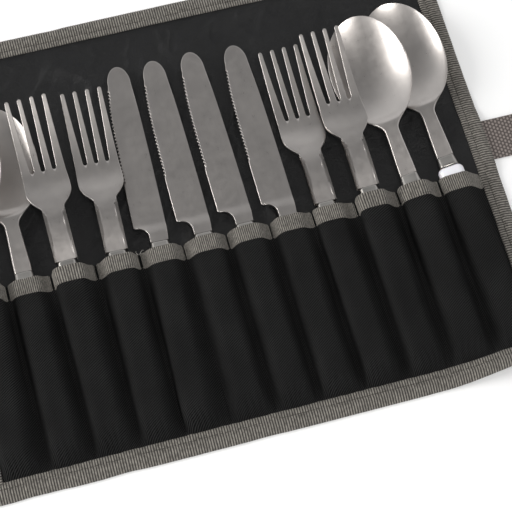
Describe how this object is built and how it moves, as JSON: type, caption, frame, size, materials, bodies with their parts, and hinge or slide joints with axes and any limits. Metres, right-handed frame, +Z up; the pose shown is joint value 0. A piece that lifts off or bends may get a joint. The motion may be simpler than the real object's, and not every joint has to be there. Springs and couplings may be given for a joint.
{
  "type": "picnic cutlery roll",
  "caption": "Fabric roll of sewn pockets, opened flat, holding spoons, forks and knives with steel heads and plastic handles, with a webbing strap that closes the folded roll.",
  "frame": {"origin": "on the roll's flat underside, midway across its width, on the line of the pocket mouths", "axes": "+X across the pockets towards the strap, +Y from the handles to the heads, +Z up out of the flat roll"},
  "size_m": [0.4804, 0.27, 0.0247],
  "materials": {
    "steel": "satin, polished by tumbling, soft reflections",
    "handle_plastic": "smooth, glossy white",
    "shell_fabric": "black woven nylon",
    "pocket_twill": "black twill with a fine diagonal line",
    "lining_nylon": "black nylon, slightly shiny, lightly wrinkled",
    "grosgrain": "warm grey ribbed ribbon with a stitch line",
    "webbing": "grey-brown coarse woven webbing",
    "touch_fastener": "black hook and loop"
  },
  "bodies": {
    "left_wing": {"left_outer_shell": "shell_fabric", "left_lining": "lining_nylon", "left_pocket_panel": "pocket_twill", "left_mouth_ribbon": "grosgrain", "left_edge_ribbon": "grosgrain", "loop_patch": "touch_fastener"},
    "spine_left": {"spine_left_outer_shell": "shell_fabric", "spine_left_lining": "lining_nylon", "spine_left_pocket_panel": "pocket_twill", "spine_left_mouth_ribbon": "grosgrain", "spine_left_edge_ribbon": "grosgrain"},
    "spine_right": {"spine_right_outer_shell": "shell_fabric", "spine_right_lining": "lining_nylon", "spine_right_pocket_panel": "pocket_twill", "spine_right_mouth_ribbon": "grosgrain", "spine_right_edge_ribbon": "grosgrain"},
    "right_wing": {"right_outer_shell": "shell_fabric", "right_lining": "lining_nylon", "right_pocket_panel": "pocket_twill", "right_mouth_ribbon": "grosgrain", "right_edge_ribbon": "grosgrain"},
    "spoon_1": {"spoon_1_head": "steel", "spoon_1_ferrule": "steel", "spoon_1_handle": "handle_plastic"},
    "spoon_2": {"spoon_2_head": "steel", "spoon_2_ferrule": "steel", "spoon_2_handle": "handle_plastic"},
    "fork_1": {"fork_1_head": "steel", "fork_1_ferrule": "steel", "fork_1_handle": "handle_plastic"},
    "fork_2": {"fork_2_head": "steel", "fork_2_ferrule": "steel", "fork_2_handle": "handle_plastic"},
    "knife_1": {"knife_1_head": "steel", "knife_1_ferrule": "steel", "knife_1_handle": "handle_plastic"},
    "knife_2": {"knife_2_head": "steel", "knife_2_ferrule": "steel", "knife_2_handle": "handle_plastic"},
    "knife_3": {"knife_3_head": "steel", "knife_3_ferrule": "steel", "knife_3_handle": "handle_plastic"},
    "knife_4": {"knife_4_head": "steel", "knife_4_ferrule": "steel", "knife_4_handle": "handle_plastic"},
    "fork_3": {"fork_3_head": "steel", "fork_3_ferrule": "steel", "fork_3_handle": "handle_plastic"},
    "fork_4": {"fork_4_head": "steel", "fork_4_ferrule": "steel", "fork_4_handle": "handle_plastic"},
    "spoon_3": {"spoon_3_head": "steel", "spoon_3_ferrule": "steel", "spoon_3_handle": "handle_plastic"},
    "spoon_4": {"spoon_4_head": "steel", "spoon_4_ferrule": "steel", "spoon_4_handle": "handle_plastic"},
    "strap_drop": {"strap_side": "webbing"},
    "strap_tail": {"strap_end": "webbing", "hook_patch": "touch_fastener"}
  },
  "joints": [
    {"name": "fold_1", "type": "hinge", "parent": "left_wing", "child": "spine_left", "pos_m": [-0.025, 0, 0.0016], "axis": [0, -1, 0], "range_deg": [0, 57]},
    {"name": "fold_2", "type": "hinge", "parent": "spine_left", "child": "spine_right", "pos_m": [0, 0, 0.0016], "axis": [0, -1, 0], "range_deg": [0, 57]},
    {"name": "fold_3", "type": "hinge", "parent": "spine_right", "child": "right_wing", "pos_m": [0.025, 0, 0.0016], "axis": [0, -1, 0], "range_deg": [0, 57]},
    {"name": "spoon_1_pull", "type": "slide", "parent": "left_wing", "child": "spoon_1", "axis": [0.0383, 0.9978, 0.0541], "range_m": [0, 0.095]},
    {"name": "spoon_2_pull", "type": "slide", "parent": "left_wing", "child": "spoon_2", "axis": [-0.007, 1, 0.0052], "range_m": [0, 0.095]},
    {"name": "fork_1_pull", "type": "slide", "parent": "left_wing", "child": "fork_1", "axis": [-0.0087, 0.9983, 0.0576], "range_m": [0, 0.095]},
    {"name": "fork_2_pull", "type": "slide", "parent": "left_wing", "child": "fork_2", "axis": [0.0279, 0.9992, 0.0279], "range_m": [0, 0.095]},
    {"name": "knife_1_pull", "type": "slide", "parent": "left_wing", "child": "knife_1", "axis": [0, 1, 0], "range_m": [0, 0.095]},
    {"name": "knife_2_pull", "type": "slide", "parent": "spine_left", "child": "knife_2", "axis": [0.007, 1, 0], "range_m": [0, 0.095]},
    {"name": "knife_3_pull", "type": "slide", "parent": "spine_right", "child": "knife_3", "axis": [-0.007, 1, 0.0035], "range_m": [0, 0.095]},
    {"name": "knife_4_pull", "type": "slide", "parent": "right_wing", "child": "knife_4", "axis": [0, 1, 0.0017], "range_m": [0, 0.095]},
    {"name": "fork_3_pull", "type": "slide", "parent": "right_wing", "child": "fork_3", "axis": [-0.014, 0.9999, 0.0052], "range_m": [0, 0.095]},
    {"name": "fork_4_pull", "type": "slide", "parent": "right_wing", "child": "fork_4", "axis": [-0.0226, 0.9979, 0.061], "range_m": [0, 0.095]},
    {"name": "spoon_3_pull", "type": "slide", "parent": "right_wing", "child": "spoon_3", "axis": [-0.0384, 0.9987, 0.0349], "range_m": [0, 0.095]},
    {"name": "spoon_4_pull", "type": "slide", "parent": "right_wing", "child": "spoon_4", "axis": [-0.0558, 0.9984, 0.007], "range_m": [0, 0.095]},
    {"name": "strap_bend_1", "type": "hinge", "parent": "right_wing", "child": "strap_drop", "pos_m": [0.16195, 0.029, 0.00155], "axis": [0, -1, 0], "range_deg": [0, 94]},
    {"name": "strap_bend_2", "type": "hinge", "parent": "strap_drop", "child": "strap_tail", "pos_m": [0.23095, 0.029, 0.00155], "axis": [0, -1, 0], "range_deg": [0, 95]}
  ],
  "couplings": [
    {"joint": "fold_1", "follows": "fold_3", "ratio": 1},
    {"joint": "fold_2", "follows": "fold_3", "ratio": 1}
  ]
}
